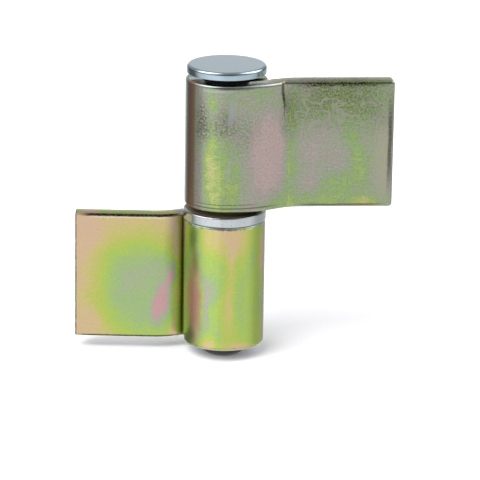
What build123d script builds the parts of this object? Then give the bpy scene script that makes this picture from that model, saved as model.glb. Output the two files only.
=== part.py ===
from build123d import *

import os
from math import asin, atan2, cos, hypot, radians, sin

# A weld-on barrel hinge: two leaves rolled from flat steel bar, a headed pin and a thrust ring.
# Millimetres, +Z up along the pin. The origin is on the pin's axis, level with the underside of
# the lower knuckle. The lower flag points to -X, and the upper one opens away from it.

# The flat bar that both leaves are rolled from. Its width is the height of a leaf.
BAR_THICKNESS = 5.0
BAR_WIDTH = 35.0
# Rounding that slitting and cropping leave along the outer face. The other face keeps its burr edge.
EDGE_ROLLOVER = 0.9
UPPER_CORNER_RADIUS = 1.0
LOWER_CORNER_RADIUS = 0.5

# The form of a leaf, seen along the pin and measured from its axis.
UPPER_FLAG_REACH = 44.8
LOWER_FLAG_REACH = 40.7
# How far the flag's inner face lies from the axis, on the side of its outer face.
FLAG_SETBACK = 0.3
# From the front of the knuckle a wide shoulder curves down into a short slope, and the crease bends
# that back into the flag.
SLOPE_ANGLE = 30.0
SLOPE_LENGTH = 1.5
CREASE_RADIUS = 12.0
# The rollers leave the last few millimetres of the bar straight, and they close on the slope.
FREE_END_STRAIGHT = 3.7
SEAM_GAP = 0.12
# Angle between the two flags about the pin, as the hinge is shown.
OPENING_ANGLE = 174.6

# The pin, pressed into the lower knuckle and running in the upper one. Its head is about as wide
# as the knuckles.
PIN_DIAMETER = 12.0
PRESS_INTERFERENCE = 0.01
RUNNING_CLEARANCE = 0.06
PIN_PROTRUSION = 3.2
PIN_END_CHAMFER = 1.2
HEAD_INSET = 0.15
HEAD_THICKNESS = 2.2
HEAD_EDGE_RADIUS = 0.85
HEAD_UNDER_EDGE = 0.25
# Room for the upper leaf to lift before it meets the head.
LIFT_PLAY = 1.4

# The thrust ring: a flange on the lower knuckle, with a collar that carries the upper one.
RING_OVERHANG = 0.3
RING_THICKNESS = 2.65
RING_EDGE_RADIUS = 0.35
RING_BORE_CLEARANCE = 0.1
COLLAR_WIDTH = 2.5
COLLAR_HEIGHT = 1.35

# Diameters, radii and levels that follow from them.
KNUCKLE_DIAMETER = PIN_DIAMETER + 2 * BAR_THICKNESS
HEAD_DIAMETER = KNUCKLE_DIAMETER - 2 * HEAD_INSET
RING_DIAMETER = KNUCKLE_DIAMETER + 2 * RING_OVERHANG
COLLAR_DIAMETER = PIN_DIAMETER + 2 * COLLAR_WIDTH
PIN_RADIUS = PIN_DIAMETER / 2
LOWER_BORE_RADIUS = PIN_RADIUS - PRESS_INTERFERENCE
UPPER_BORE_RADIUS = PIN_RADIUS + RUNNING_CLEARANCE
RING_SEAT = BAR_WIDTH
UPPER_LEAF_SEAT = RING_SEAT + RING_THICKNESS + COLLAR_HEIGHT
HEAD_SEAT = UPPER_LEAF_SEAT + BAR_WIDTH + LIFT_PLAY


def closing_angle(tip_radius, shoulder_centre, clear_radius, slope):
    """The angle about the axis at which the free end's outer corner meets what it closes on.

    That is the slope, or the shoulder where the corner doesn't reach as far as the slope.
    """
    along = Vector(cos(slope), sin(slope))
    face_distance = clear_radius - shoulder_centre.Y * cos(slope)
    on_slope = slope - asin(face_distance / tip_radius)
    tip = Vector(cos(on_slope), sin(on_slope)) * tip_radius
    if (tip - shoulder_centre).dot(along) >= 0:
        return on_slope
    offset = shoulder_centre.Y
    return asin((tip_radius**2 + offset**2 - clear_radius**2) / (2 * tip_radius * offset))

def leaf_outline(bore_radius, flag_reach):
    """The section of a leaf about the axis, its flag towards +X and its outer face towards -Y.

    Returns the section, the middle of the free end and the chain of edges along the outer face.
    """
    knuckle_radius = bore_radius + BAR_THICKNESS
    inner_face = -FLAG_SETBACK
    outer_face = inner_face - BAR_THICKNESS

    # The shoulder's radius is the one that brings the slope and the crease out level with the flag.
    slope = radians(SLOPE_ANGLE)
    along = Vector(cos(slope), sin(slope))
    across = Vector(sin(slope), -cos(slope))
    bends_drop = knuckle_radius + outer_face - SLOPE_LENGTH * sin(slope)
    shoulder_radius = bends_drop / (1 - cos(slope)) - CREASE_RADIUS
    shoulder_centre = Vector(0, shoulder_radius - knuckle_radius)
    slope_start = shoulder_centre + across * shoulder_radius
    bend_centre = slope_start + along * SLOPE_LENGTH + across * CREASE_RADIUS

    # The free end is a straight tangent, and its outer corner stops short of the inner face.
    tip_radius = hypot(knuckle_radius, FREE_END_STRAIGHT)
    tip_angle = closing_angle(
        tip_radius, shoulder_centre, shoulder_radius - BAR_THICKNESS - SEAM_GAP, slope
    )
    roll_end_angle = tip_angle + atan2(FREE_END_STRAIGHT, knuckle_radius)
    outwards = Vector(cos(roll_end_angle), sin(roll_end_angle))
    run = Vector(sin(roll_end_angle), -cos(roll_end_angle)) * FREE_END_STRAIGHT

    def strip_side(depth):
        """The edges of the bar, from free end to flag, at a depth below its outer face."""
        radius = knuckle_radius - depth
        roll_end = outwards * radius
        front = Vector(0, -radius)
        slope_root = slope_start - across * depth
        bend_start = slope_root + along * SLOPE_LENGTH
        bend_end = bend_centre + Vector(0, CREASE_RADIUS + depth)
        return [
            Line(roll_end + run, roll_end),
            ThreePointArc(roll_end, Vector(-radius, 0), front),
            TangentArc(front, slope_root, tangent=Vector(1, 0)),
            Line(slope_root, bend_start),
            TangentArc(bend_start, bend_end, tangent=along),
            Line(bend_end, Vector(flag_reach, outer_face + depth)),
        ]

    outer = strip_side(0)
    inner = strip_side(BAR_THICKNESS)
    free_end = Line(outer[0] @ 0, inner[0] @ 0)
    flag_end = Line(outer[-1] @ 1, inner[-1] @ 1)
    section = make_face(Wire(outer + inner + [free_end, flag_end]))
    return section, free_end @ 0.5, Wire(outer)


def make_leaf(bore_radius, flag_reach, corner_radius):
    """A leaf: the bar rolled round the pin, set over by the slope, and left flat as a flag."""
    section, free_end, outer_side = leaf_outline(bore_radius, flag_reach)
    leaf = extrude(section, amount=BAR_WIDTH)

    mid_height = Vector(0, 0, BAR_WIDTH / 2)
    flag_end = Vector(flag_reach, -FLAG_SETBACK - BAR_THICKNESS / 2)
    corners = []
    for end in (free_end, flag_end):
        end_face = leaf.faces().sort_by_distance(end + mid_height)[0]
        corners += end_face.edges().filter_by(Axis.Z, reverse=True)
    leaf = fillet(corners, corner_radius)
    outer_ends = (outer_side @ 0, outer_side @ 1)

    def is_rim(edge):
        """True for an edge that bounds the outer face, and not for a joint inside it."""
        middle = edge @ 0.5
        on_outer_side = outer_side.distance_to(Vector(middle.X, middle.Y, 0)) < 0.001
        inside = corner_radius < middle.Z < BAR_WIDTH - corner_radius
        at_an_end = min((middle - mid_height - place).length for place in outer_ends) < 0.001
        return on_outer_side and (not inside or at_an_end)

    return fillet(leaf.edges().filter_by(is_rim), EDGE_ROLLOVER)


def make_lower_leaf():
    """The fixed leaf, gripping the pin, with its flag towards -X."""
    return Rot(0, 0, 180) * make_leaf(LOWER_BORE_RADIUS, LOWER_FLAG_REACH, LOWER_CORNER_RADIUS)


def make_upper_leaf():
    """The swinging leaf, on the ring's collar, opened from the lower flag by the opening angle."""
    leaf = make_leaf(UPPER_BORE_RADIUS, UPPER_FLAG_REACH, UPPER_CORNER_RADIUS)
    return Pos(0, 0, UPPER_LEAF_SEAT) * Rot(0, 0, 180 - OPENING_ANGLE) * leaf


def disc(diameter, bottom, top):
    """An upright disc about the pin's axis, between two levels."""
    place = Pos(0, 0, bottom)
    return place * Cylinder(diameter / 2, top - bottom, align=(Align.CENTER, Align.CENTER, Align.MIN))


def make_hinge_pin():
    """The pin: a shank chamfered at its lower end, under a flat head with a rounded upper edge."""
    shank = disc(PIN_DIAMETER, -PIN_PROTRUSION, HEAD_SEAT)
    shank = chamfer(shank.edges().group_by(Axis.Z)[0], PIN_END_CHAMFER)
    head = disc(HEAD_DIAMETER, HEAD_SEAT, HEAD_SEAT + HEAD_THICKNESS)
    head = fillet(head.edges().group_by(Axis.Z)[-1], HEAD_EDGE_RADIUS)
    head = fillet(head.edges().group_by(Axis.Z)[0], HEAD_UNDER_EDGE)
    return shank + head


def make_thrust_ring():
    """The ring that spaces the knuckles: a rounded flange below a narrower collar, bored together."""
    flange = disc(RING_DIAMETER, RING_SEAT, RING_SEAT + RING_THICKNESS)
    rims = flange.edges().filter_by(GeomType.CIRCLE)
    flange = fillet(rims, RING_EDGE_RADIUS)
    collar = disc(COLLAR_DIAMETER, RING_SEAT, UPPER_LEAF_SEAT)
    bore = disc(PIN_DIAMETER + 2 * RING_BORE_CLEARANCE, RING_SEAT, UPPER_LEAF_SEAT)
    return flange + collar - bore


os.makedirs("parts", exist_ok=True)
pieces = {
    "lower_leaf": make_lower_leaf(),
    "upper_leaf": make_upper_leaf(),
    "hinge_pin": make_hinge_pin(),
    "thrust_ring": make_thrust_ring(),
}
for name, piece in pieces.items():
    export_step(piece, f"parts/{name}.step")
    print(name, piece.bounding_box().size, round(piece.volume, 1))
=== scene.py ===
"""The looks of a weld-on barrel hinge: two leaves of zinc plated and yellow chromated steel bar,
a bright zinc headed pin and a bright zinc thrust ring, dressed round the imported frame."""

import logging
import math
from dataclasses import dataclass, field
from enum import Enum
from typing import Any

import bpy
import numpy as np
from mathutils import Matrix, Vector, noise


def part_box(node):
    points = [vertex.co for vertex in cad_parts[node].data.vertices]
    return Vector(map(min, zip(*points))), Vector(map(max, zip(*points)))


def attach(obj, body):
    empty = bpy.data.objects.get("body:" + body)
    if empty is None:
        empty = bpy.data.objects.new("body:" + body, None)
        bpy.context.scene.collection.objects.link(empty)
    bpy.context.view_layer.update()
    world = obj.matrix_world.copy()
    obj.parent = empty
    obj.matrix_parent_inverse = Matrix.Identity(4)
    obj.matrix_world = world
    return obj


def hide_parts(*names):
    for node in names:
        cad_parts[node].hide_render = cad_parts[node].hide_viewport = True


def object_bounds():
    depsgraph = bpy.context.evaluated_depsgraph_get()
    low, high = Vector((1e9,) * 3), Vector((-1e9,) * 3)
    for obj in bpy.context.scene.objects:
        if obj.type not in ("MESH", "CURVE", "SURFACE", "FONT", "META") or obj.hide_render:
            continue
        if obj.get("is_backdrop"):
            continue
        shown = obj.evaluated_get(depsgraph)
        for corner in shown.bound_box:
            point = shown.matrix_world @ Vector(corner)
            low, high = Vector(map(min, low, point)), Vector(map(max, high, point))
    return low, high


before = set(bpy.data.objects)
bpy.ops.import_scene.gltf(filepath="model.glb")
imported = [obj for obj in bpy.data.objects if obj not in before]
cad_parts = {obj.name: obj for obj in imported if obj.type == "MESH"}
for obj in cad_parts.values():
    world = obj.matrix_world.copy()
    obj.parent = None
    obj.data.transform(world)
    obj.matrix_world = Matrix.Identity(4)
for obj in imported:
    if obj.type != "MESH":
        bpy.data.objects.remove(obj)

Tree = bpy.types.NodeTree
Socket = bpy.types.NodeSocket

MM = 0.001
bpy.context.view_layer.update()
# The attribute that tells a leaf's material where a point lay on the flat bar, in millimetres.
BAR_PLACE = "bar_place"
# Noise seldom leaves this part of its range from 0 to 1, and almost never the wide one.
USUAL_NOISE, WIDE_NOISE = (0.3, 0.7), (0.25, 0.75)
# How far from its middle value a noise draws a curl's line faintly and fully.
CURL_LINE = (0.05, 0.005)
# The grain at which a broken cover shows least and most.
SPECK_GRAIN = (0.58, 0.4)
# Along the bar, where the streaks that the rollers draw are gone and where they are whole.
STREAKS_END, STREAKS_WHOLE = 56.0, 46.0
# Relief of pickled or plated steel, in millimetres.
GRAIN_RELIEF = 0.02
# Millimetres that the edge of the oil and painted shade wanders, and that the ends of the clean plate are
# ragged by.
OIL_WANDER, PLATE_RAGGED = 1.6, 0.2
# What the oil and painted shade add to the roughness, and how much of the plate's colour a nick leaves.
OIL_ROUGHNESS, NICK_SHADE = 0.4, 0.35
log = logging.getLogger("hinge")


def linear(colour: str) -> tuple[float, float, float, float]:
    """Turns an sRGB hex colour into linear light.

    Args:
        colour: The colour as "#rrggbb".

    Returns:
        Red, green, blue and an alpha of 1.
    """
    parts = [int(colour[i : i + 2], 16) / 255 for i in (1, 3, 5)]
    light = [c / 12.92 if c <= 0.04045 else ((c + 0.055) / 1.055) ** 2.4 for c in parts]
    return (light[0], light[1], light[2], 1.0)


def add_node(
    tree: Tree, kind: str, inputs: dict[str, Any] | tuple[Any, ...] = (), **settings: Any
) -> bpy.types.Node:
    """Adds a shader node, sets it up and feeds its sockets.

    Args:
        tree: The node tree that gets the node.
        kind: The node's type, without its ShaderNode prefix.
        inputs: What its inputs get, by name or in their order: another node's output, or a value.
            For MapRange that order is the value, the range that it comes in and the one it goes to.
        settings: The node's own properties.

    Returns:
        The new node.
    """
    node = tree.nodes.new("ShaderNode" + kind)
    for name, value in settings.items():
        setattr(node, name, value)
    fed = inputs if isinstance(inputs, dict) else dict(enumerate(inputs))
    for name, value in fed.items():
        if isinstance(value, Socket):
            tree.links.new(value, node.inputs[name])
        else:
            node.inputs[name].default_value = value
    return node


def new_material(name: str) -> tuple[bpy.types.Material, Tree]:
    """Makes an empty node material.

    Args:
        name: The material's name.

    Returns:
        The material and its cleared node tree.
    """
    material = bpy.data.materials.new(name)
    material.use_nodes = True
    material.node_tree.nodes.clear()
    return material, material.node_tree


def add_surface(tree: Tree, relief: tuple[Socket, float, float], inputs: dict[str, Any]) -> None:
    """Ends a material with its shader.

    Args:
        tree: The material's node tree.
        relief: The pattern of its relief, how strongly it shows and how many millimetres deep.
        inputs: What the shader's other inputs get.
    """
    pattern, strength, depth = relief
    bump = add_node(tree, "Bump", {"Height": pattern, "Strength": strength, "Distance": depth * MM})
    shader = add_node(tree, "BsdfPrincipled", {**inputs, "Normal": bump.outputs[0]})
    add_node(tree, "OutputMaterial", {"Surface": shader.outputs[0]})


def mesh_piece(
    name: str, points: np.ndarray, quads: np.ndarray, material: bpy.types.Material
) -> bpy.types.Object:
    """Makes a smooth shaded piece from points in millimetres.

    Args:
        name: The piece's name.
        points: One row of X, Y and Z for each vertex.
        quads: One row of four vertex numbers for each face.
        material: What it is finished with.

    Returns:
        The new object, in metres, linked to the scene.
    """
    mesh = bpy.data.meshes.new(name)
    mesh.from_pydata((points * MM).tolist(), [], quads.tolist())
    mesh.validate()
    mesh.shade_smooth()
    mesh.materials.append(material)
    piece = bpy.data.objects.new(name, mesh)
    bpy.context.scene.collection.objects.link(piece)
    return piece


def smooth_noise(points: np.ndarray, grain: float) -> np.ndarray:
    """Gives noise from about -1 to 1 at each place, with lumps as big as the grain."""
    return np.array([noise.noise(Vector(p)) for p in points / grain])


def smooth_step(values: np.ndarray, start: float, end: float) -> np.ndarray:
    """Rises smoothly from 0 at start to 1 at end, for each value."""
    share = np.clip((values - start) / (end - start), 0, 1)
    return share * share * (3 - 2 * share)


@dataclass(frozen=True)
class Spot:
    """A soft edged patch of a leaf's finish, placed on the flat bar that the leaf was rolled from.

    Attributes:
        along: Millimetres from the free end to its middle.
        up: Millimetres from the bar's lower edge to its middle.
        length: How far it reaches along the bar, each way.
        height: How far it reaches up and down.
        amount: What it adds in its middle.
        tilt: Degrees that it leans.
        soft: Share of its reach that fades out.
        square: True for a band with straight sides, False for a round patch.
        deep: Millimetres below the outer face to its middle.
        depth: How far it reaches through the bar, each way.
    """

    along: float
    up: float
    length: float
    height: float
    amount: float
    tilt: float = 0.0
    soft: float = 1.0
    square: bool = False
    deep: float = 0.0
    depth: float = 1000.0

    def node(self, tree: Tree, place: Socket) -> Socket:
        """Adds the nodes that work the patch out.

        Args:
            tree: The material's node tree.
            place: Where a point lies on the flat bar.

        Returns:
            The output that holds what the patch adds.
        """
        near = add_node(
            tree, "Mapping", {
                "Vector": place,
                "Location": (self.along, self.up, self.deep),
                "Rotation": (0, 0, math.radians(self.tilt)),
                "Scale": (self.length, self.height, self.depth),
            }, vector_type="TEXTURE",
        ).outputs[0]
        if self.square:
            side = add_node(tree, "VectorMath", (near,), operation="ABSOLUTE").outputs[0]
            axes = add_node(tree, "SeparateXYZ", (side,)).outputs
            wide = add_node(tree, "Math", (axes[0], axes[1]), operation="MAXIMUM").outputs[0]
            reach = add_node(tree, "Math", (wide, axes[2]), operation="MAXIMUM").outputs[0]
        else:
            reach = add_node(tree, "VectorMath", (near,), operation="LENGTH").outputs["Value"]
        fade = (reach, 1.0, 1 - self.soft, 0.0, self.amount)
        return add_node(tree, "MapRange", fade, interpolation_type="SMOOTHERSTEP").outputs[0]


def strayed(tree: Tree, bar: Socket, wander: float, size: float) -> Socket:
    """Shifts places about, so that the patches' outlines wander as a draining dip leaves them.

    Args:
        tree: The material's node tree.
        bar: Where a point lies on the flat bar.
        wander: Millimetres between the furthest shifts.
        size: Size of the strays in millimetres.

    Returns:
        The output that holds the shifted place.
    """
    inputs = {"Vector": bar, "Scale": 1 / size, "Detail": 6.0, "Roughness": 0.68}
    drift = add_node(tree, "TexNoise", inputs).outputs["Color"]
    centred = add_node(tree, "VectorMath", (drift, (0.5,) * 3), operation="SUBTRACT").outputs[0]
    shifted = (centred, (wander,) * 3, bar)
    return add_node(tree, "VectorMath", shifted, operation="MULTIPLY_ADD").outputs[0]


def spread(tree: Tree, place: Socket, spots: tuple[Spot, ...], start: Any) -> Any:
    """Adds up patches.

    Args:
        tree: The material's node tree.
        place: Where a point lies on the flat bar.
        spots: The patches.
        start: What they are added to, a value or an output.

    Returns:
        The output that holds the sum.
    """
    total = start
    for spot in spots:
        total = add_node(tree, "Math", (total, spot.node(tree, place)), operation="ADD").outputs[0]
    return total


def curled(tree: Tree, bar: Socket, share: Socket, size: float) -> Socket:
    """Keeps a cover along winding lines only, as the drying edges of a rinse leave it.

    Args:
        tree: The material's node tree.
        bar: Where a point lies on the flat bar.
        share: How much the cover hides.
        size: Millimetres across a curl.

    Returns:
        The output that holds what is left of the cover.
    """
    inputs = {"Vector": bar, "Scale": 1 / size, "Detail": 2.0, "Distortion": 0.6}
    level = add_node(tree, "TexNoise", inputs).outputs["Fac"]
    off = add_node(tree, "Math", (level, 0.5), operation="SUBTRACT").outputs[0]
    away = add_node(tree, "Math", (off,), operation="ABSOLUTE").outputs[0]
    close = (away, *CURL_LINE)
    line = add_node(tree, "MapRange", close, interpolation_type="SMOOTHSTEP").outputs[0]
    return add_node(tree, "Math", (share, line), operation="MULTIPLY").outputs[0]


@dataclass(frozen=True)
class Cover:
    """Something that lies on the chromate or shows through it, in patches; some covers are painted shade
    and painted highlights instead.

    Attributes:
        hue: Its colour.
        spots: Where it lies.
        broken: How much it is broken up into specks, from 0 to 1.
        rough: What it adds to the metal's roughness.
        wander: Millimetres that its outline strays.
        wander_size: Size of those strays.
        curl: Millimetres across the curls that it dries into, or 0 where it lies evenly.
    """

    hue: str
    spots: tuple[Spot, ...]
    broken: float = 0.5
    rough: float = 0.1
    wander: float = 1.5
    wander_size: float = 4.0
    curl: float = 0.0

    def lay(
        self, tree: Tree, bar: Socket, grain: Socket, colour: Socket, rough: Socket
    ) -> tuple[Socket, Socket]:
        """Lays the cover over a finish.

        Args:
            tree: The material's node tree.
            bar: Where a point lies on the flat bar.
            grain: The grain that breaks the cover up.
            colour: The colour below it.
            rough: The roughness below it.

        Returns:
            The outputs that hold the colour and the roughness with the cover.
        """
        place = strayed(tree, bar, self.wander, self.wander_size)
        share = spread(tree, place, self.spots, 0.0)
        broken = (grain, *SPECK_GRAIN, 1 - self.broken, 1 + 0.5 * self.broken)
        specks = add_node(tree, "MapRange", broken).outputs[0]
        if self.curl:
            share = curled(tree, bar, share, self.curl)
        hidden = add_node(tree, "Math", (share, specks), operation="MULTIPLY", use_clamp=True)
        share = hidden.outputs[0]
        covered = {"Fac": share, "Color1": colour, "Color2": linear(self.hue)}
        colour = add_node(tree, "MixRGB", covered).outputs[0]
        rough = add_node(tree, "Math", (share, self.rough, rough), operation="MULTIPLY_ADD").outputs[0]
        return colour, rough


@dataclass(frozen=True)
class YellowChromate:
    """Rolled steel bar, zinc plated and dipped in yellow chromate.

    The film is so thin that its thickness sets its hue, which gives the eye soft clouds of tan,
    lime, sage and pink on satin metal.

    Attributes:
        name: The material's name.
        hues: Film thickness from 0 to 1, and the hue that it shows.
        level: The film's usual thickness.
        clouds: How much the film's thickness drifts from place to place.
        flecks: How much it varies from one speck of the bar to the next.
        films: Patches where the film is thicker or thinner.
        covers: Dirt and bloom, and painted shade and highlights along the edges, rims and seam.
        roughness: Satin of the metal.
        grain: How strongly the pickled steel's grain shows.
        cloud_size: Millimetres across a cloud of the film.
        wander: Millimetres that the outlines of the films stray.
        fleck_size: Millimetres across a fleck.
        grain_size: Millimetres across the grain.
        streaks: How much the film's thickness varies across the drawn streaks of the knuckle.
        scratches: How strongly the fine handling scratches show.
    """

    name: str
    hues: tuple[tuple[float, str], ...]
    level: float
    clouds: float
    flecks: float
    films: tuple[Spot, ...]
    covers: tuple[Cover, ...]
    roughness: float
    grain: float
    cloud_size: float = 9.0
    wander: float = 3.0
    fleck_size: float = 1.1
    grain_size: float = 0.55
    streaks: float = 0.09
    scratches: float = 0.012

    def film(self, tree: Tree, bar: Socket) -> Socket:
        """Works out how thick the film is.

        Args:
            tree: The material's node tree.
            bar: Where a point lies on the flat bar.

        Returns:
            The output that holds the thickness, from 0 to 1.
        """
        inputs = {"Vector": bar, "Scale": 0.6 / self.cloud_size, "Detail": 2.5}
        cloud = add_node(tree, "TexNoise", inputs).outputs["Fac"]
        # A draining dip leaves flecks that are drawn out a little along the bar.
        drawn = add_node(tree, "Mapping", {"Vector": bar, "Scale": (0.7, 1.0, 1.0)}).outputs[0]
        inputs = {"Vector": drawn, "Scale": 1 / self.fleck_size, "Detail": 5.0, "Roughness": 0.8}
        fleck = add_node(tree, "TexNoise", inputs).outputs["Fac"]
        total: Any = self.level
        for pattern, share in ((cloud, self.clouds), (fleck, self.flecks)):
            swing = add_node(tree, "MapRange", (pattern, *WIDE_NOISE, -share, share)).outputs[0]
            total = add_node(tree, "Math", (total, swing), operation="ADD").outputs[0]
        # The rollers draw streaks a millimetre or so wide down the knuckle, and none on the flag.
        tall = add_node(tree, "Mapping", {"Vector": bar, "Scale": (0.7, 0.05, 0.7)}).outputs[0]
        inputs = {"Vector": tall, "Scale": 1.0, "Detail": 3.0, "Roughness": 0.6}
        streak = add_node(tree, "TexNoise", inputs).outputs["Fac"]
        either_way = (streak, *USUAL_NOISE, -self.streaks, self.streaks)
        swing = add_node(tree, "MapRange", either_way).outputs[0]
        along = add_node(tree, "SeparateXYZ", (bar,)).outputs["X"]
        rolled = add_node(tree, "MapRange", (along, STREAKS_END, STREAKS_WHOLE)).outputs[0]
        total = add_node(tree, "Math", (swing, rolled, total), operation="MULTIPLY_ADD").outputs[0]
        place = strayed(tree, bar, self.wander, self.cloud_size)
        return spread(tree, place, self.films, total)

    def material(self) -> bpy.types.Material:
        """Builds the node material.

        Returns:
            The material, which reads where each point lay on the flat bar.
        """
        material, tree = new_material(self.name)
        bar = add_node(tree, "Attribute", attribute_name=BAR_PLACE).outputs["Vector"]
        hue = add_node(tree, "ValToRGB", {"Fac": self.film(tree, bar)})
        ramp = hue.color_ramp.elements
        for number, (thickness, tint) in enumerate(self.hues):
            # A new ramp has two stops already.
            stop = ramp[number] if number < 2 else ramp.new(thickness)
            stop.position = thickness
            stop.color = linear(tint)

        # The pickled grain is about a tenth of a millimetre across. It is drawn several times
        # coarser, so that it shows.
        inputs = {"Vector": bar, "Scale": 1 / self.grain_size, "Detail": 4.0, "Roughness": 0.75}
        grain = add_node(tree, "TexNoise", inputs).outputs["Fac"]
        # Scratches are a few millimetres long and drawn a quarter of a millimetre wide.
        drawn = add_node(tree, "Mapping", {"Vector": bar, "Scale": (0.25, 3.2, 3.2)}).outputs[0]
        inputs = {"Vector": drawn, "Scale": 1.0, "Detail": 4.0}
        scratch = add_node(tree, "TexNoise", inputs).outputs["Fac"]
        colour = hue.outputs["Color"]
        shades = (
            (grain, 1 - self.grain, 1 + 0.6 * self.grain),
            (scratch, 1 - self.scratches, 1 + self.scratches),
        )
        for pattern, low, high in shades:
            shade = add_node(tree, "MapRange", (pattern, *USUAL_NOISE, low, high)).outputs[0]
            colour = add_node(tree, "VectorMath", (colour, shade), operation="MULTIPLY").outputs[0]
        satin = (grain, *USUAL_NOISE, self.roughness + 0.05, self.roughness - 0.04)
        rough = add_node(tree, "MapRange", satin).outputs[0]
        for cover in self.covers:
            colour, rough = cover.lay(tree, bar, grain, colour, rough)
        relief = (grain, min(1.0, 1.8 * self.grain), GRAIN_RELIEF)
        add_surface(tree, relief, {"Base Color": colour, "Metallic": 1.0, "Roughness": rough})
        return material


@dataclass(frozen=True)
class BrightZinc:
    """Turned steel with a bright zinc plate: bluish, smooth and nearly mirror-like at its edges.

    Attributes:
        name: The material's name.
        bright: Heights in millimetres between which the plate is clean; the rest is painted dark brown,
            as oil and shade.
        hue: Colour of the plate.
        oily_hue: Colour of the steel painted with oil and shade.
        roughness: Satin of the plate.
        nicks: Share of the grain, from the top, that shows as dark nicks.
        oil_reach: Millimetres from the axis that the painted oil and shade reach out to.
        cloud_size: Millimetres across a cloud of the plate.
        grain_size: Millimetres across the grain.
    """

    name: str
    bright: tuple[float, float]
    hue: str = "#ACBFCA"
    oily_hue: str = "#544B3B"
    roughness: float = 0.15
    nicks: float = 0.36
    oil_reach: float = 100.0
    cloud_size: float = 5.0
    grain_size: float = 0.5

    def oily(self, tree: Tree, spot: Socket, cloud: Socket, grain: Socket) -> Socket:
        """Finds where the oil and painted shade lie.

        Args:
            tree: The material's node tree.
            spot: Where a point lies on the piece.
            cloud: Noise that the outer edge of the oil and painted shade follows.
            grain: Noise that makes the plate's ends ragged.

        Returns:
            The output that is 1 on steel painted with oil and shade, and 0 on clean plate.
        """
        flat = add_node(tree, "VectorMath", (spot, (1.0, 1.0, 0.0)), operation="MULTIPLY").outputs[0]
        radius = add_node(tree, "VectorMath", (flat,), operation="LENGTH").outputs["Value"]
        wandering = (cloud, OIL_WANDER * MM, radius)
        crept = add_node(tree, "Math", wandering, operation="MULTIPLY_ADD").outputs[0]
        reach = (self.oil_reach + OIL_WANDER / 2) * MM
        reached = add_node(tree, "Math", (crept, reach), operation="LESS_THAN").outputs[0]
        height = add_node(tree, "SeparateXYZ", (spot,)).outputs["Z"]
        torn = (grain, PLATE_RAGGED * MM, height)
        ragged = add_node(tree, "Math", torn, operation="MULTIPLY_ADD").outputs[0]
        low, high = self.bright
        off = add_node(tree, "Math", (ragged, (low + high) / 2 * MM), operation="SUBTRACT").outputs[0]
        away = add_node(tree, "Math", (off,), operation="ABSOLUTE").outputs[0]
        half = (high - low) / 2 * MM
        beyond = add_node(tree, "Math", (away, half), operation="GREATER_THAN").outputs[0]
        return add_node(tree, "Math", (beyond, reached), operation="MULTIPLY").outputs[0]

    def material(self) -> bpy.types.Material:
        """Builds the node material.

        Returns:
            The material, laid out from the piece's own origin on the axis.
        """
        material, tree = new_material(self.name)
        spot = add_node(tree, "TexCoord").outputs["Object"]
        # The plate's clouds are millimetres across. Its nicks are a tenth of one or two, and they are
        # drawn several times coarser, so that they show.
        cloud, grain = (
            add_node(tree, "TexNoise", {"Vector": spot, "Scale": 1 / (size * MM), "Detail": detail})
            .outputs["Fac"]
            for size, detail in ((self.cloud_size, 3.0), (self.grain_size, 4.0))
        )
        shade = add_node(tree, "MapRange", (cloud, *USUAL_NOISE, 0.95, 1.03)).outputs[0]
        nicked = (grain, 1 - self.nicks, 1.07 - self.nicks, 1.0, NICK_SHADE)
        nick = add_node(tree, "MapRange", nicked).outputs[0]
        plate: Any = linear(self.hue)[:3]
        for pattern in (shade, nick):
            plate = add_node(tree, "VectorMath", (plate, pattern), operation="MULTIPLY").outputs[0]
        # Dark brown steel: painted shade, and oil.
        oily = self.oily(tree, spot, cloud, grain)
        oiled = {"Fac": oily, "Color1": plate, "Color2": linear(self.oily_hue)}
        colour = add_node(tree, "MixRGB", oiled).outputs[0]
        satin = (cloud, *USUAL_NOISE, self.roughness - 0.03, self.roughness + 0.05)
        dry = add_node(tree, "MapRange", satin).outputs[0]
        wet = (oily, OIL_ROUGHNESS, dry)
        rough = add_node(tree, "Math", wet, operation="MULTIPLY_ADD").outputs[0]
        clean = add_node(tree, "Math", (1.0, oily), operation="SUBTRACT").outputs[0]
        inputs = {"Base Color": colour, "Metallic": clean, "Roughness": rough}
        add_surface(tree, (grain, 0.12, GRAIN_RELIEF), inputs)
        return material


@dataclass(frozen=True)
class StudioPaper:
    """Matt backing paper, which shows only the object's soft shadow.

    Attributes:
        name: The material's name.
        hue: Its colour.
        glow_hue: Colour of the light that the whitener in it gives back.
        glow: How bright that light is.
    """

    name: str = "white_backing_paper"
    hue: str = "#D1D1D1"
    glow_hue: str = "#EDEAFF"
    glow: float = 0.16

    def material(self) -> bpy.types.Material:
        """Builds the node material.

        Returns:
            The material, with a faint relief of fibres about three millimetres apart.
        """
        material, tree = new_material(self.name)
        spot = add_node(tree, "TexCoord").outputs["Object"]
        pulp = {"Vector": spot, "Scale": 300.0, "Detail": 3.0}
        fibre = add_node(tree, "TexNoise", pulp).outputs["Fac"]
        inputs = {
            "Base Color": linear(self.hue), "Roughness": 0.9,
            "Emission Color": linear(self.glow_hue), "Emission Strength": self.glow,
        }
        add_surface(tree, (fibre, 0.05, 0.1), inputs)
        return material


class Level(Enum):
    """Which leaf it is, and the degrees that its flag is turned from +X about the pin."""

    LOWER = 180.0
    UPPER = 5.4


# How many places the rim's steps are read from, so that they can crowd near the corners.
RIM_SAMPLES = 2000
# Sizes of the torn edge's lumps in millimetres, and a shift that tells the two sizes apart.
FINE_TEARS, WIDE_TEARS, ELSEWHERE = 0.8, 2.5, 50
# Where the forming tool bit the crease, in millimetres: how far below the upper edge its mark
# starts and is whole, how far its lip lies before the flag and leans further, how wide the lip is
# on both its sides, and where the mark runs out.
BITE_STARTS, BITE_WHOLE = 13.0, 2.0
LIP_BEFORE_FLAG, LIP_LEAN = 3.6, 2.1
LIP_BEFORE, LIP_AFTER = 0.15, 0.9
BITE_RUN_OUT = 2.0


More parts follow.
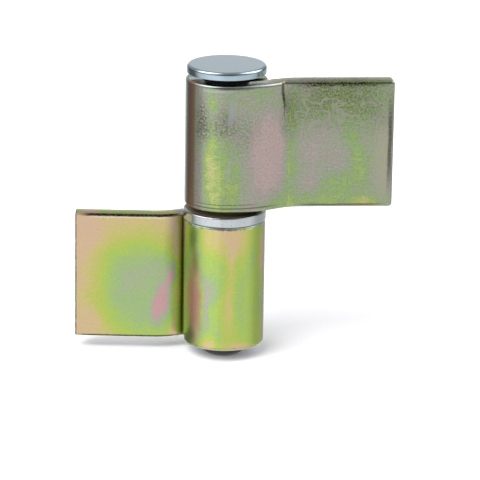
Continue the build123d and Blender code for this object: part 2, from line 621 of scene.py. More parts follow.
@dataclass
class RolledLeaf:
    """A leaf rolled from flat bar: free end, roll, shoulder, slope, crease and flag.

    Attributes:
        node: The frame's node that it stands for.
        body: The body that it rides on.
        slot: The record's material slot; not used.
        level: Which leaf it is.
        finish: What it is dressed with.
        bore_radius: Radius that the bar is rolled to.
        thickness: The bar's thickness.
        setback: How far the flag's inner face lies from the axis.
        free_straight: The last stretch of the bar, which the rollers leave straight.
        seam_gap: Gap where the free end closes.
        slope_angle: Degrees that the slope falls towards the flag.
        slope_length: Length of the slope between its two bends.
        crease_radius: Radius of the bend into the flag.
        corner_radius: Rounding of the bar's corners.
        rollover: Rounding that the shear leaves along the outer face.
        burr: Width of the torn edge along the inner face.
        pinch: Share of the way to the flag that the crease is pressed in at the upper edge.
        cells: Faces along the bar and across it.
        bottom: Height of the leaf's lower edge above the origin.
        width: The bar's width, and so the leaf's height.
        reach: How far the flag reaches from the axis.
    """

    node: str
    body: str
    slot: str
    level: Level
    finish: YellowChromate
    bore_radius: float
    thickness: float = 5.0
    setback: float = 0.3
    free_straight: float = 3.7
    seam_gap: float = 0.12
    slope_angle: float = 30.0
    slope_length: float = 1.5
    crease_radius: float = 12.0
    corner_radius: float = 1.0
    rollover: float = 0.9
    burr: float = 0.3
    pinch: float = 0.0
    cells: tuple[int, int] = (260, 90)
    bottom: float = field(init=False)
    width: float = field(init=False)
    reach: float = field(init=False)

    def __post_init__(self) -> None:
        """Reads the leaf's height and reach from the frame."""
        low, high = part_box(self.node)
        self.bottom = low.z / MM
        self.width = (high.z - low.z) / MM
        turn = math.radians(self.level.value)
        corners = [v.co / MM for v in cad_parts[self.node].data.vertices]
        self.reach = max(c.x * math.cos(turn) + c.y * math.sin(turn) for c in corners)

    def stretches(self) -> dict[str, float]:
        """Works out the section about the axis, the flag towards +X and the outer face towards -Y.

        Returns:
            Lengths of the bar's stretches at mid thickness, and the angles and centres of its bends.
        """
        slope = math.radians(self.slope_angle)
        knuckle = self.bore_radius + self.thickness
        outer_face = -self.setback - self.thickness
        drop = knuckle + outer_face - self.slope_length * math.sin(slope)
        shoulder = drop / (1 - math.cos(slope)) - self.crease_radius
        centre = shoulder - knuckle
        tip = math.hypot(knuckle, self.free_straight)
        clear = shoulder - self.thickness - self.seam_gap - centre * math.cos(slope)
        roll_end = slope - math.asin(clear / tip) + math.atan2(self.free_straight, knuckle)
        half = self.thickness / 2
        bend_end = (shoulder + self.crease_radius) * math.sin(slope) + self.slope_length * math.cos(slope)
        return {
            "slope": slope, "knuckle": knuckle, "outer_face": outer_face, "shoulder": shoulder,
            "centre": centre, "roll_end": roll_end, "bend_end": bend_end,
            "roll_length": (1.5 * math.pi - roll_end) * (knuckle - half),
            "shoulder_length": slope * (shoulder - half),
            "crease_length": slope * (self.crease_radius + half),
            "flag_length": self.reach - bend_end,
        }

    def bar_length(self) -> float:
        """Adds the stretches up.

        Returns:
            The length of the flat bar, at mid thickness.
        """
        part = self.stretches()
        bends = part["roll_length"] + part["shoulder_length"] + part["crease_length"]
        return self.free_straight + bends + self.slope_length + part["flag_length"]

    def roll(self, along: np.ndarray, depth: np.ndarray) -> np.ndarray:
        """Bends places on the flat bar into the leaf's section.

        Args:
            along: Millimetres from the free end, at mid thickness.
            depth: Millimetres below the outer face.

        Returns:
            X and Y of each place, the flag towards +X.
        """
        part = self.stretches()
        slope, half = part["slope"], self.thickness / 2
        ends = np.cumsum([
            self.free_straight, part["roll_length"], part["shoulder_length"],
            self.slope_length, part["crease_length"],
        ])
        radius = part["knuckle"] - depth
        turn = part["roll_end"]
        rest = self.free_straight - along
        tail = (
            radius * math.cos(turn) + rest * math.sin(turn),
            radius * math.sin(turn) - rest * math.cos(turn),
        )
        angle = turn + (along - ends[0]) / (part["knuckle"] - half)
        rolled = (radius * np.cos(angle), radius * np.sin(angle))
        angle = (along - ends[1]) / (part["shoulder"] - half)
        reach = part["shoulder"] - depth
        shoulder = (reach * np.sin(angle), part["centre"] - reach * np.cos(angle))
        run = along - ends[2]
        sloped = (
            reach * math.sin(slope) + run * math.cos(slope),
            part["centre"] - reach * math.cos(slope) + run * math.sin(slope),
        )
        angle = slope - (along - ends[3]) / (self.crease_radius + half)
        reach = self.crease_radius + depth
        creased = (
            part["bend_end"] - reach * np.sin(angle),
            part["outer_face"] - self.crease_radius + reach * np.cos(angle),
        )
        flag = (part["bend_end"] + along - ends[4], part["outer_face"] + depth)
        stretches = [tail, rolled, shoulder, sloped, creased]
        inside = [along < end for end in ends]
        section = [np.select(inside, [s[axis] for s in stretches], flag[axis]) for axis in (0, 1)]
        return np.stack(section, axis=1)

    def rim(self) -> tuple[np.ndarray, np.ndarray]:
        """Walks round the flat bar's outline, with rounded corners.

        Returns:
            The places along the outline, and the direction from each straight into the bar.
        """
        length, width, radius = self.bar_length(), self.width, self.corner_radius
        places, inwards = [], []
        quarter = radius * math.pi / 4
        corners = [(0, 0), (length, 0), (length, width), (0, width)]
        for number, cells in enumerate(self.cells * 2):
            start, end = np.array(corners[number], float), np.array(corners[(number + 1) % 4], float)
            span = float(np.linalg.norm(end - start))
            way = (end - start) / span
            inward = np.array([-way[1], way[0]])
            run = span - 2 * radius + 2 * quarter
            fine = np.linspace(0, run, RIM_SAMPLES)
            crowding = 1 + 2 * np.exp(-fine / radius) + 2 * np.exp(-(run - fine) / radius)
            total = np.cumsum(crowding)
            steps = np.interp(np.linspace(total[0], total[-1], cells + 1)[:-1], total, fine)
            for step in steps:
                if step < quarter:
                    turn = -math.pi / 4 + step / radius
                    hub = start + (way + inward) * radius
                elif step > run - quarter:
                    turn = math.pi / 4 - (run - step) / radius
                    hub = end + (inward - way) * radius
                else:
                    turn = 0.0
                    hub = start + way * (radius + step - quarter) + inward * radius
                facing = inward * math.cos(turn) - way * math.sin(turn)
                places.append(hub - facing * radius)
                inwards.append(facing)
        return np.array(places), np.array(inwards)

    def sides(self, ring: np.ndarray) -> tuple[np.ndarray, ...]:
        """Parts what runs round a face into its four sides.

        Args:
            ring: What each vertex round the face has.

        Returns:
            The lower, right, upper and left side, each going away from the lower left corner.
        """
        across, up = self.cells
        closed = np.concatenate([ring, ring[:1]])
        low, right = closed[: across + 1], closed[across : across + up + 1]
        top, left = closed[across + up : 2 * across + up + 1], closed[2 * across + up :]
        return low, right, top[::-1], left[::-1]

    def face_grid(self, edge: np.ndarray) -> np.ndarray:
        """Fills a face of the flat bar with an even grid.

        Args:
            edge: Places round the face.

        Returns:
            The places of the whole grid, its edge included.
        """
        across, up = self.cells
        u = np.linspace(0, 1, across + 1)[:, None, None]
        v = np.linspace(0, 1, up + 1)[None, :, None]
        low, right, top, left = self.sides(edge)
        corners = (
            (1 - u) * (1 - v) * low[0] + u * (1 - v) * low[-1] + u * v * top[-1] + (1 - u) * v * top[0]
        )
        return (
            (1 - v) * low[:, None] + v * top[:, None] + (1 - u) * left[None] + u * right[None] - corners
        )

    def grid_numbers(self, ring: np.ndarray, first: int) -> np.ndarray:
        """Numbers a face's grid, sharing the vertices of the ring round it.

        Args:
            ring: Vertex numbers round the face.
            first: The number of its first inner vertex.

        Returns:
            The vertex number of each place of the grid.
        """
        across, up = self.cells
        numbers = np.zeros((across + 1, up + 1), int)
        numbers[1:-1, 1:-1] = first + np.arange((across - 1) * (up - 1)).reshape(across - 1, up - 1)
        numbers[:, 0], numbers[-1, :], numbers[:, -1], numbers[0, :] = self.sides(ring)
        return numbers

    def edge_profile(self) -> list[tuple[float, float, float]]:
        """The bar's sheared edge, from its outer face to its inner face.

        Returns:
            Inset from the outline, depth below the outer face, and how ragged it is there.
        """
        over = self.rollover
        # The shear rolls the edge over, leaves it smooth further down and tears the rest.
        profile = [
            (over * (1 - math.sin(turn)), over * (1 - math.cos(turn)), 0.0)
            for turn in np.linspace(0, math.pi / 2, 9)
        ]
        deep = self.thickness - self.burr
        for share, torn in ((0.35, 0.0), (0.6, 0.0), (0.7, 0.05), (0.9, 0.05)):
            profile.append((torn, over + share * (deep - over), torn))
        burr = self.burr
        return profile + [
            (0.06, deep, 0.08), (0.4 * burr, deep + 0.55 * burr, 0.1), (burr, self.thickness, 0.06),
        ]

    def blank(self) -> tuple[np.ndarray, np.ndarray]:
        """Makes the flat bar before it is rolled.

        Returns:
            Its vertices as millimetres along, up and deep, and its faces.
        """
        outline, inwards = self.rim()
        count = len(outline)
        on_corner = np.abs(inwards).max(axis=1) < 1 - 1e-9
        rings, quads = [], []
        profile = self.edge_profile()
        for inset, depth, ragged in profile:
            spot = np.column_stack([outline, np.full(count, depth)])
            tears = smooth_noise(spot, FINE_TEARS)
            tears += 0.6 * smooth_noise(spot + ELSEWHERE, WIDE_TEARS)
            step = inset + np.abs(ragged * tears)
            # On a corner, a step past the corner's centre would cross over itself.
            held = np.where(on_corner, np.minimum(step, self.corner_radius), step)
            far = np.array([self.bar_length(), self.width]) - step[:, None]
            inside = np.clip(outline + inwards * held[:, None], step[:, None], far)
            rings.append(np.column_stack([inside, np.full(count, depth)]))
        around = np.arange(count)
        after = np.roll(around, -1)
        for number in range(len(rings) - 1):
            here, there = number * count, (number + 1) * count
            quads.append(np.column_stack([here + around, there + around, there + after, here + after]))
        points = list(rings)
        total = count * len(rings)
        for ring, flip in ((0, False), (len(rings) - 1, True)):
            grid = self.face_grid(rings[ring][:, :2])[1:-1, 1:-1].reshape(-1, 2)
            numbers = self.grid_numbers(ring * count + around, total)
            total += len(grid)
            points.append(np.column_stack([grid, np.full(len(grid), profile[ring][1])]))
            cells = [numbers[:-1, :-1], numbers[1:, :-1], numbers[1:, 1:], numbers[:-1, 1:]]
            faces = np.stack([c.ravel() for c in cells], axis=1)
            quads.append(faces[:, ::-1] if flip else faces)
        return np.vstack(points), np.vstack(quads)

    def press_crease(self, section: np.ndarray, bar: np.ndarray) -> np.ndarray:
        """Presses the crease in at the upper edge, where the forming tool bit deepest.

        Args:
            section: X and Y of each vertex in the leaf's section.
            bar: The same vertices on the flat bar.

        Returns:
            The section with the crease pressed in.
        """
        part = self.stretches()
        bite = smooth_step(bar[:, 1], self.width - BITE_STARTS, self.width - BITE_WHOLE)
        lip = part["bend_end"] - LIP_BEFORE_FLAG - LIP_LEAN * bite
        pressed = smooth_step(section[:, 0], lip - LIP_BEFORE, lip + LIP_AFTER)
        pressed *= 1 - smooth_step(section[:, 0], part["bend_end"], part["bend_end"] + BITE_RUN_OUT)
        outer = 1 - np.clip(bar[:, 2] / self.thickness, 0, 1)
        room = np.clip(part["outer_face"] + bar[:, 2] - section[:, 1], 0, None)
        moved = section.copy()
        moved[:, 1] += self.pinch * room * bite * pressed * outer
        return moved

    def build(self) -> bpy.types.Object:
        """Builds the leaf and hangs it on its body.

        Returns:
            The leaf's object.
        """
        bar, quads = self.blank()
        section = self.press_crease(self.roll(bar[:, 0], bar[:, 2]), bar)
        turn = math.radians(self.level.value)
        points = np.column_stack([
            section[:, 0] * math.cos(turn) - section[:, 1] * math.sin(turn),
            section[:, 0] * math.sin(turn) + section[:, 1] * math.cos(turn),
            self.bottom + bar[:, 1],
        ])
        piece = mesh_piece("rolled_" + self.node, points, quads, self.finish.material())
        places = piece.data.attributes.new(BAR_PLACE, "FLOAT_VECTOR", "POINT")
        places.data.foreach_set("vector", bar.astype(np.float32).ravel())
        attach(piece, self.body)
        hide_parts(self.node)
        return piece


# Distances from the axis where the turned pieces' dents start and are whole, their size, and what
# lifts the noise that they follow, so that there are more of them than gaps.
DENTS_START, DENTS_WHOLE = 9.4, 10.6
DENT_SIZE, DENT_LIFT = 1.7, 0.4
# The faces of the pin's flat ends stop this far from the axis, in millimetres.
CENTRE_HOLE = 0.02


@dataclass
class TurnedPiece:
    """A piece turned about the pin's axis.

    Attributes:
        node: The frame's node that it stands for.
        slot: The record's material slot; not used.
        finish: What it is dressed with.
        body: The body that it rides on.
        steps: Faces round the axis.
        dents: How deep the handling dents round the outside are, in millimetres.
    """

    node: str
    slot: str
    finish: BrightZinc
    body: str = "fixed_side"
    steps: int = 256
    dents: float = 0.03

    def profile(self) -> list[tuple[float, float]]:
        """Radius and height of each point of the outline, from the bottom up."""
        raise NotImplementedError

    def wear(self, points: np.ndarray) -> np.ndarray:
        """Dents the outside as knocks in a bin of parts do, which breaks up the highlights.

        Args:
            points: The turned vertices.

        Returns:
            The vertices, those round the outside pressed in here and there.
        """
        radius = np.hypot(points[:, 0], points[:, 1])
        outside = smooth_step(radius, DENTS_START, DENTS_WHOLE)
        depth = self.dents * outside * np.clip(DENT_LIFT + smooth_noise(points, DENT_SIZE), 0, None)
        worn = points.copy()
        worn[:, :2] *= (1 - depth / radius)[:, None]
        return worn

    def build(self) -> bpy.types.Object:
        """Turns the outline about the axis and hangs the piece on its body.

        Returns:
            The piece's object.
        """
        outline = np.array(self.profile())
        turns = np.linspace(0, 2 * math.pi, self.steps, endpoint=False)
        points = np.concatenate([
            np.column_stack([r * np.cos(turns), r * np.sin(turns), np.full(self.steps, z)])
            for r, z in outline
        ])
        around = np.arange(self.steps)
        after = np.roll(around, -1)
        rows = len(outline) if self.closed() else len(outline) - 1
        quads = []
        for row in range(rows):
            here, there = row * self.steps, (row + 1) % len(outline) * self.steps
            quads.append(np.column_stack([here + around, here + after, there + after, there + around]))
        points, faces = self.wear(points), np.vstack(quads)
        piece = mesh_piece("turned_" + self.node, points, faces, self.finish.material())
        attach(piece, self.body)
        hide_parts(self.node)
        return piece

    def closed(self) -> bool:
        """True for an outline that runs back into itself, as a ring's does."""
        return False


def rounded(
    hub: tuple[float, float], radius: float, start: float, end: float, count: int = 8
) -> list[tuple[float, float]]:
    """Points of an arc in an outline.

    Args:
        hub: Radius and height of the arc's centre.
        radius: The arc's radius.
        start: Its first angle in degrees, 0 pointing outwards and 90 up.
        end: Its last angle in degrees.
        count: How many faces it gets.

    Returns:
        Radius and height of each point.
    """
    turns = np.radians(np.linspace(start, end, count + 1))
    return [(hub[0] + radius * math.cos(t), hub[1] + radius * math.sin(t)) for t in turns]


@dataclass
class HeadedPin(TurnedPiece):
    """The pin: a shank with a chamfered foot under a flat head.

    Attributes:
        diameter: The shank's diameter.
        chamfer: The foot's chamfer.
        head_thickness: Thickness of the head.
        head_edge: Rounding of the head's upper edge.
        under_edge: Rounding of its lower edge.
    """

    diameter: float = 12.0
    chamfer: float = 1.2
    head_thickness: float = 2.2
    head_edge: float = 0.85
    under_edge: float = 0.25

    def profile(self) -> list[tuple[float, float]]:
        """Goes up the outline from the foot.

        Returns:
            Radius and height of each point.
        """
        low, high = (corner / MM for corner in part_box(self.node))
        shank, head = self.diameter / 2, high.x
        seat = high.z - self.head_thickness
        flat = [(r, low.z) for r in np.linspace(CENTRE_HOLE, shank - self.chamfer, 10)]
        side = [(shank, z) for z in np.linspace(low.z + self.chamfer, seat, 60)]
        under = [(r, seat) for r in np.linspace(shank + 0.3, head - self.under_edge, 8)]
        lower = rounded((head - self.under_edge, seat + self.under_edge), self.under_edge, -75, 0, 5)
        upper = rounded((head - self.head_edge, high.z - self.head_edge), self.head_edge, 0, 90, 10)
        top = [(r, high.z) for r in np.linspace(head - self.head_edge - 0.3, CENTRE_HOLE, 24)]
        return flat + side + under + lower + upper + top


@dataclass
class ThrustRing(TurnedPiece):
    """The ring between the knuckles: a flange below a narrower collar, bored together.

    Attributes:
        flange_thickness: Thickness of the flange.
        edge: Rounding of the flange.
        collar: Diameter of the collar.
        bore: Diameter of the bore.
    """

    flange_thickness: float = 2.65
    edge: float = 0.35
    collar: float = 17.0
    bore: float = 12.2

    def closed(self) -> bool:
        """True: the ring's outline runs back into itself."""
        return True

    def profile(self) -> list[tuple[float, float]]:
        """Goes round the section, from the bore along the underside.

        Returns:
            Radius and height of each point.
        """
        low, high = (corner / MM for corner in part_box(self.node))
        outer, collar, bore = high.x, self.collar / 2, self.bore / 2
        step = low.z + self.flange_thickness
        return (
            [(r, low.z) for r in np.linspace(bore, outer - self.edge - 0.1, 8)]
            + rounded((outer - self.edge, low.z + self.edge), self.edge, -90, 0)
            + [(outer, z) for z in np.linspace(low.z + self.edge, step - self.edge, 8)[1:-1]]
            + rounded((outer - self.edge, step - self.edge), self.edge, 0, 90)
            + [(r, step) for r in np.linspace(outer - self.edge - 0.1, collar, 6)]
            + [(collar, high.z), (bore, high.z)]
            + [(bore, z) for z in np.linspace(high.z, low.z, 8)[1:-1]]
        )


def direction(bearing: float, elevation: float) -> Vector:
    """The way towards a bearing from the front, towards +X, and an elevation, both in degrees."""
    turn, rise = math.radians(bearing), math.radians(elevation)
    return Vector((math.sin(turn) * math.cos(rise), -math.cos(turn) * math.cos(rise), math.sin(rise)))


# Bearing, elevation and half width in degrees, and what each side adds to the room's grey: the
# key's two pools on the paper, the dark sides, the pale backdrop's two parts, the dark behind the
# camera and the two raised softboxes.
ROOM = (
    (-38.0, -15.0, 36.0, 0.25),
    (2.0, -19.0, 34.0, 0.08),
    (-120.0, -17.0, 40.0, -0.84),
    (125.0, -17.0, 50.0, -0.42),
    (180.0, 17.0, 60.0, 0.06),
    (180.0, -8.0, 30.0, 0.7),
    (0.0, 24.0, 46.0, -0.3),
    (-85.0, 56.0, 33.0, 3.2),
    (110.0, 44.0, 33.0, 2.8),
)
# No side of the room gets darker than this.
DARKEST_ROOM = 0.04
# Half the width of the paper, in millimetres.
FLOOR_HALF = 3000.0


@dataclass
class Studio:
    """White paper, soft light and the camera.

    Attributes:
        bearing: Degrees that the camera stands off the front, towards +X.
        elevation: Degrees that it looks down.
        roll: Degrees that it is tipped.
        distance: Millimetres from the camera to what it looks at.
        lens: Focal length for a sensor 36 mm wide.
        aim: What it looks at, to the right of the axis and above the origin, in millimetres.
    """

    bearing: float = 1.0
    elevation: float = 16.9
    roll: float = 0.9
    distance: float = 900.0
    lens: float = 248.6
    aim: tuple[float, float] = (4.22, 28.4)

    def camera(self) -> None:
        """Sets up the camera at the photograph's angle."""
        turn, dip, tip = (math.radians(a) for a in (self.bearing, self.elevation, self.roll))
        right = Vector((math.cos(turn), math.sin(turn), 0))
        ahead = Vector((-math.sin(turn) * math.cos(dip), math.cos(turn) * math.cos(dip), -math.sin(dip)))
        up = right.cross(ahead)
        aim = right * self.aim[0] + Vector((0, 0, self.aim[1]))
        data = bpy.data.cameras.new("camera")
        data.lens = self.lens
        data.clip_start, data.clip_end = 0.01, 50.0
        camera = bpy.data.objects.new("camera", data)
        bpy.context.scene.collection.objects.link(camera)
        side = right * math.cos(tip) + up * math.sin(tip)
        top = up * math.cos(tip) - right * math.sin(tip)
        turned = Matrix((side, top, -ahead)).transposed().to_4x4()
        camera.matrix_world = Matrix.Translation((aim - ahead * self.distance) * MM) @ turned
        bpy.context.scene.camera = camera

    def floor(self) -> bpy.types.Object:
        """Lays the paper under the pin's foot.

        Returns:
            The floor's object.
        """
        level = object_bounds()[0].z / MM
        corners = ((-1, -1), (1, -1), (1, 1), (-1, 1))
        points = np.array([(x * FLOOR_HALF, y * FLOOR_HALF, level) for x, y in corners])
        floor = mesh_piece("paper_floor", points, np.array([[0, 1, 2, 3]]), StudioPaper().material())
        floor.visible_glossy = False
        floor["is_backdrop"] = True
        return floor

    def sun(self, name: str, bearing: float, elevation: float, width: float, strength: float) -> None:
        """Adds a large, far soft light.

        Args:
            name: The light's name.
            bearing: Degrees from the front towards +X.
            elevation: Degrees above the floor.
            width: Degrees that it fills.
            strength: How bright it is.
        """
        data = bpy.data.lights.new(name, "SUN")
        data.energy = strength
        data.angle = math.radians(width)
        lamp = bpy.data.objects.new(name, data)
        lamp.rotation_euler = direction(bearing, elevation).to_track_quat("Z", "Y").to_euler()
        lamp.visible_glossy = False
        bpy.context.scene.collection.objects.link(lamp)

    def surroundings(self) -> None:
        """Sets the soft grey room, with lighter and darker sides."""
        world = bpy.data.worlds.new("studio_room")
        world.use_nodes = True
        tree = world.node_tree
        tree.nodes.clear()
        way = add_node(tree, "TexCoord").outputs["Generated"]
        rise = add_node(tree, "SeparateXYZ", (way,)).outputs["Z"]
        # White paper below the horizon, a dim room above it.
        horizon = (rise, -0.04, 0.1, 0.99, 0.4)
        total = add_node(tree, "MapRange", horizon, interpolation_type="SMOOTHSTEP").outputs[0]
        for bearing, elevation, half_width, amount in ROOM:
            ahead = (way, direction(bearing, elevation))
            facing = add_node(tree, "VectorMath", ahead, operation="DOT_PRODUCT").outputs["Value"]
            pool = (facing, math.cos(math.radians(half_width)), 1.0, 0.0, amount)
            lobe = add_node(tree, "MapRange", pool, interpolation_type="SMOOTHSTEP").outputs[0]
            total = add_node(tree, "Math", (total, lobe), operation="ADD").outputs[0]
        total = add_node(tree, "Math", (total, DARKEST_ROOM), operation="MAXIMUM").outputs[0]
        light = add_node(tree, "Background", {"Color": linear("#FFFFFF"), "Strength": total})
        add_node(tree, "OutputWorld", {"Surface": light.outputs[0]})
        bpy.context.scene.world = world

    def build(self) -> None:
        """Sets the whole studio up."""
        bpy.context.scene.view_settings.view_transform = "Standard"
        self.camera()
        self.floor()
        self.surroundings()
        self.sun("soft_key", -35.0, 45.0, 44.0, 4.0)


BURR_SHADOW = "#17130C"
# Pale bluish zinc, painted as highlights along edges and rims.
BARE_EDGE = "#A9B0B6"
# Dark brown, painted as shade in the seam beside the knuckle.
GREASE = "#4E4028"

# A spot says how far along and up it lies, its length and height each way, and its amount.
LOWER_CHROMATE = YellowChromate(
    name="bright_yellow_chromate",
    hues=(
        (0.0, "#CBA2A2"), (0.14, "#B4AFA4"), (0.3, "#A4BE86"), (0.46, "#AFCA64"),
        (0.6, "#C0C66A"), (0.74, "#CFC182"), (0.86, "#D6BA98"), (1.0, "#D6B79E"),
    ),
    level=0.44,
    clouds=0.1,
    flecks=0.08,
    wander=6.0,
    films=(
        # The flag: tan round its edges, with a sage middle inside a ring of lime.
        Spot(74.0, 17.0, 19.0, 60.0, 0.42, soft=0.2, square=True),
        Spot(65.0, 13.0, 23.0, 25.0, -0.54, soft=0.8),
        Spot(79.5, 5.0, 4.0, 5.0, 0.12),
        Spot(80.0, 30.0, 5.0, 7.0, 0.1),
        Spot(61.3, 10.0, 2.6, 9.5, -0.4, tilt=11.0),
        Spot(62.9, 8.5, 1.9, 4.0, -0.12),
        Spot(58.8, 18.0, 2.0, 7.0, -0.36, tilt=6.0),
        Spot(70.0, 35.3, 30.0, 0.9, -0.42, soft=0.3, square=True, deep=1.2, depth=3.6),
        # The slope beside the seam.
        Spot(56.8, 17.0, 3.2, 40.0, 0.5, square=True),
        # The knuckle: streaks down it, and peach towards both ends.
        Spot(14.0, 33.0, 5.0, 9.0, 0.22),
        Spot(17.4, 17.0, 2.2, 26.0, 0.2, square=True),
        Spot(18.6, 31.0, 5.5, 12.0, 0.26),
        Spot(12.0, 13.0, 1.5, 15.0, -0.3),
        Spot(13.8, 17.0, 2.8, 8.0, -0.16),
        Spot(22.5, 12.0, 2.5, 20.0, 0.05),
        Spot(26.8, 27.0, 3.2, 14.0, 0.42),
        Spot(13.4, 1.0, 3.5, 4.5, 0.34),
        Spot(19.5, 0.5, 5.0, 4.0, 0.3),
    ),
    covers=(
        Cover("#C08F80", broken=0.15, wander=3.0, spots=(
            Spot(9.5, 13.0, 2.9, 19.0, 0.95, soft=0.9),
            Spot(7.6, 16.0, 1.8, 22.0, 0.45),
        )),
        Cover("#A19689", broken=0.2, wander=1.0, spots=(
            Spot(30.2, 17.0, 4.7, 40.0, 0.9, soft=0.5, square=True),
        )),
        # Dark olive: painted shade high on the knuckle beside the flag, and on the flag by the seam.
        Cover("#56602F", broken=0.15, wander=1.5, spots=(
            Spot(8.6, 31.0, 2.6, 6.5, 0.6),
            Spot(59.2, 26.0, 2.2, 14.0, 0.22),
        )),
        # Dark brown: painted shade in the seam and on the knuckle's side beside it.
        Cover(GREASE, broken=0.12, wander=0.8, spots=(
            Spot(55.9, 17.0, 2.4, 40.0, 0.66, square=True),
            Spot(8.4, 3.5, 2.0, 3.0, 0.4),
            Spot(9.6, 24.5, 1.8, 6.0, 0.4),
        )),
        # Pale bluish zinc: painted highlights along the knuckle's lower rim, the free end, and the upper
        # edge by the seam.
        Cover(BARE_EDGE, broken=0.2, rough=-0.14, wander=0.3, wander_size=2.0, spots=(
            Spot(14.0, 0.0, 22.0, 0.7, 0.7, soft=0.5, square=True),
            Spot(55.5, 35.0, 2.0, 0.5, 0.8, soft=0.5, square=True),
            Spot(3.6, 17.0, 2.0, 40.0, 0.9, soft=0.6, square=True),
        )),
        # Dark grey: painted shade along the flag's end and its lower edge.
        Cover("#4E5044", broken=0.2, wander=0.3, wander_size=2.0, spots=(
            Spot(84.6, 17.0, 0.7, 40.0, 0.9, soft=0.4, square=True),
            Spot(70.0, 0.1, 16.0, 0.6, 0.85, soft=0.4, square=True),
        )),
        # Near white: a painted highlight along the knuckle's upper rim.
        Cover("#DDE3E8", broken=0.6, rough=0.08, wander=0.6, wander_size=3.0, spots=(
            Spot(14.0, 35.0, 22.0, 1.0, 0.9, soft=0.5, square=True),
        )),
        # Near white specks: painted glints just below the flag's upper edge.
        Cover("#E2E2DA", broken=0.95, rough=-0.1, wander=0.4, wander_size=1.0, spots=(
            Spot(70.0, 34.1, 13.0, 0.35, 0.6, soft=0.5, square=True, deep=5.0, depth=0.5),
        )),
        Cover(BURR_SHADOW, broken=0.25, wander=0.4, wander_size=1.0, spots=(
            Spot(69.5, 35.0, 14.5, 0.8, 1.0, soft=0.3, square=True, deep=5.0, depth=0.9),
            Spot(70.0, 0.0, 15.0, 0.5, 0.8, soft=0.5, square=True, deep=5.0, depth=0.8),
            Spot(14.0, 35.0, 22.0, 0.3, 0.75, soft=0.5, square=True),
        )),
    ),
    roughness=0.3,
    grain=0.06,
)

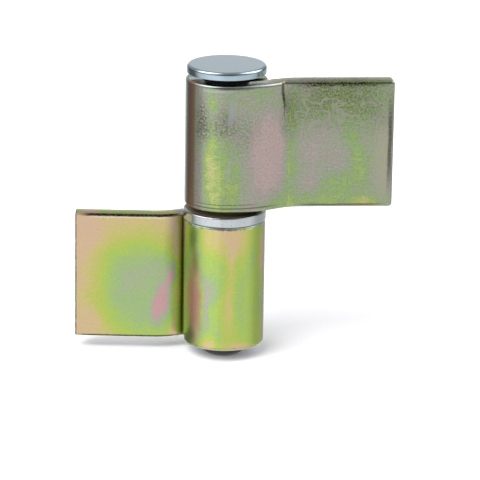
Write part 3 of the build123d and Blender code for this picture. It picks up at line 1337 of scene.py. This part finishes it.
UPPER_CHROMATE = YellowChromate(
    name="dull_yellow_chromate",
    hues=(
        (0.0, "#BDA9A5"), (0.14, "#AEA59F"), (0.3, "#A2A994"), (0.45, "#97B07A"),
        (0.54, "#A3B970"), (0.64, "#B6C07A"), (0.77, "#C6BE92"), (0.88, "#BEA68A"), (1.0, "#AD8F7A"),
    ),
    level=0.3,
    clouds=0.12,
    flecks=0.2,
    films=(
        # The knuckle: a streak of yellow and a cloud of pink.
        Spot(53.3, 15.5, 8.2, 19.0, -0.36, soft=0.85),
        Spot(51.5, 7.0, 4.0, 8.0, -0.08),
        Spot(49.0, 31.0, 9.0, 6.0, 0.03),
        Spot(41.2, 8.5, 5.8, 23.0, 0.27),
        Spot(39.3, 16.0, 1.5, 24.0, 0.2),
        Spot(45.0, 5.0, 2.2, 8.0, 0.16),
        Spot(39.8, 31.0, 2.5, 6.0, 0.14),
        Spot(56.5, 1.0, 9.0, 8.0, 0.14),
        # Along the crease and over the flag.
        Spot(60.9, 17.0, 3.4, 26.0, 0.1, soft=0.8),
        Spot(60.0, 9.0, 0.7, 22.0, 0.12, soft=0.8),
        Spot(73.0, 30.0, 17.0, 11.0, 0.14),
        Spot(66.5, 15.0, 6.5, 7.0, -0.12),
        Spot(66.5, 8.5, 3.5, 4.5, -0.16),
        Spot(74.0, 13.5, 6.0, 5.5, -0.13),
        Spot(77.6, 19.0, 3.6, 7.5, 0.16, tilt=30.0),
        Spot(80.2, 11.5, 3.6, 9.5, 0.15),
        Spot(74.0, 6.0, 8.5, 5.5, 0.14),
        Spot(70.0, 1.5, 17.0, 5.0, 0.2),
        Spot(81.5, 1.5, 6.5, 3.0, 0.3),
    ),
    covers=(
        # Brown: a painted reflection band down the knuckle's left edge.
        Cover("#9A7A68", broken=0.2, wander=0.6, spots=(
            Spot(33.9, 17.0, 1.9, 40.0, 1.0, soft=0.6, square=True),
        )),
        # Grey: a painted reflection band beside it.
        Cover("#8E8685", broken=0.3, wander=0.6, spots=(
            Spot(36.5, 17.0, 1.3, 40.0, 0.6, soft=0.8, square=True),
        )),
        Cover("#B4B09B", broken=0.2, wander=2.0, spots=(
            Spot(86.2, 13.0, 4.2, 20.0, 0.7),
        )),
        Cover("#57573A", broken=0.6, wander=5.0, wander_size=7.0, spots=(
            Spot(74.0, 36.0, 20.0, 20.0, 0.6, soft=0.9, square=True),
            Spot(60.0, 27.0, 5.0, 14.0, 0.3),
        )),
        Cover("#ABA99E", broken=0.4, curl=5.0, spots=(
            Spot(72.5, 26.0, 16.0, 11.0, 0.75, soft=0.6),
        )),
        Cover("#4C483F", broken=0.8, wander=4.0, wander_size=5.0, spots=(
            Spot(37.2, 24.5, 3.0, 9.0, 0.6),
            Spot(42.0, 24.5, 4.5, 6.5, 0.4),
            Spot(46.5, 22.0, 6.0, 9.0, 0.2),
        )),
        Cover("#A9B0BC", broken=0.3, wander=2.0, spots=(
            Spot(43.7, 27.5, 1.3, 6.5, 0.6, tilt=-4.0),
            Spot(43.2, 12.5, 0.8, 8.0, 0.5, tilt=-8.0),
        )),
        # Pale bluish zinc: painted highlights along the flag's end and lower edge, on the knuckle's upper
        # rim and down its left edge.
        Cover(BARE_EDGE, broken=0.2, rough=-0.14, wander=0.4, wander_size=2.0, spots=(
            Spot(89.0, 17.0, 0.5, 40.0, 0.8, soft=0.5, square=True),
            Spot(74.0, 0.0, 17.0, 0.7, 0.7, soft=0.5, square=True),
            Spot(46.0, 34.8, 13.0, 0.8, 0.6, soft=0.5, square=True),
            Spot(40.5, 33.5, 4.5, 0.35, 0.7, soft=0.6, square=True),
            Spot(31.2, 17.0, 1.6, 40.0, 0.7, soft=0.6, square=True),
        )),
        # Gold: a painted lit band on the knuckle's top face under the head, and a gold patch low on the
        # flag near its end.
        Cover("#B89C62", broken=0.3, wander=2.5, spots=(
            Spot(52.0, 35.0, 9.0, 0.6, 0.5, soft=0.7, square=True, deep=2.6, depth=2.4),
            Spot(81.0, 0.8, 6.0, 2.2, 0.3),
        )),
        # Dark brown: painted shade along the flag's upper edge and down the crease.
        Cover("#3A2E22", broken=0.6, wander=1.2, wander_size=1.6, spots=(
            Spot(75.0, 34.1, 15.8, 0.75, 0.85, soft=0.7, square=True, depth=1.2),
            Spot(57.9, 30.0, 0.5, 6.5, 0.7, soft=0.8, tilt=4.0),
        )),
        # Dark brown: painted shade along the flag's end.
        Cover("#463C33", broken=0.15, wander=0.5, wander_size=5.0, spots=(
            Spot(88.0, 18.0, 0.9, 18.0, 0.75, soft=0.9, square=True, depth=1.2),
        )),
        # Grey brown: painted shade in thin lines along the knuckle's rims and the flag's lower edge.
        Cover("#6B6656", broken=0.1, rough=0.0, wander=0.35, wander_size=6.0, spots=(
            Spot(45.0, 1.3, 13.0, 0.24, 0.9, soft=0.5, square=True),
            Spot(43.0, 2.3, 9.0, 0.2, 0.7, soft=0.5, square=True),
            Spot(45.0, 34.1, 5.0, 0.2, 0.6, soft=0.5, square=True),
            Spot(75.0, 0.8, 14.0, 0.3, 0.95, soft=0.5, square=True),
        )),
    ),
    roughness=0.33,
    grain=0.22,
    fleck_size=1.6,
    scratches=0.035,
)


def main() -> None:
    """Builds the studio and the hinge's four pieces, and reports each."""
    logging.basicConfig(level=logging.INFO, format="%(name)s: %(message)s")
    Studio().build()
    pieces = (
        RolledLeaf(
            node="lower_leaf", body="fixed_side", slot="yellow_chromate_bright",
            level=Level.LOWER, finish=LOWER_CHROMATE, bore_radius=5.99, corner_radius=0.5,
        ),
        RolledLeaf(
            node="upper_leaf", body="swinging_side", slot="yellow_chromate_dull",
            level=Level.UPPER, finish=UPPER_CHROMATE, bore_radius=6.06, pinch=1.0,
        ),
        HeadedPin(
            node="hinge_pin", slot="bright_zinc_pin",
            # Below its head the pin is painted dark brown: painted shade on the shank in the gap under
            # the head, and on the foot.
            finish=BrightZinc(
                name="bright_zinc_pin", bright=(75.2, 90.0), oily_hue="#30291A", nicks=0.33,
            ),
        ),
        ThrustRing(
            node="thrust_ring", slot="bright_zinc_ring",
            # The ring's collar and top face are painted dull brown: oil, and painted shade under the
            # upper knuckle.
            finish=BrightZinc(
                name="bright_zinc_ring", bright=(35.3, 37.6), hue="#C3C9CC", oil_reach=10.6,
            ),
        ),
    )
    for piece in pieces:
        made = piece.build()
        log.info("%s: %d faces", made.name, len(made.data.polygons))


if __name__ == "__main__":
    main()
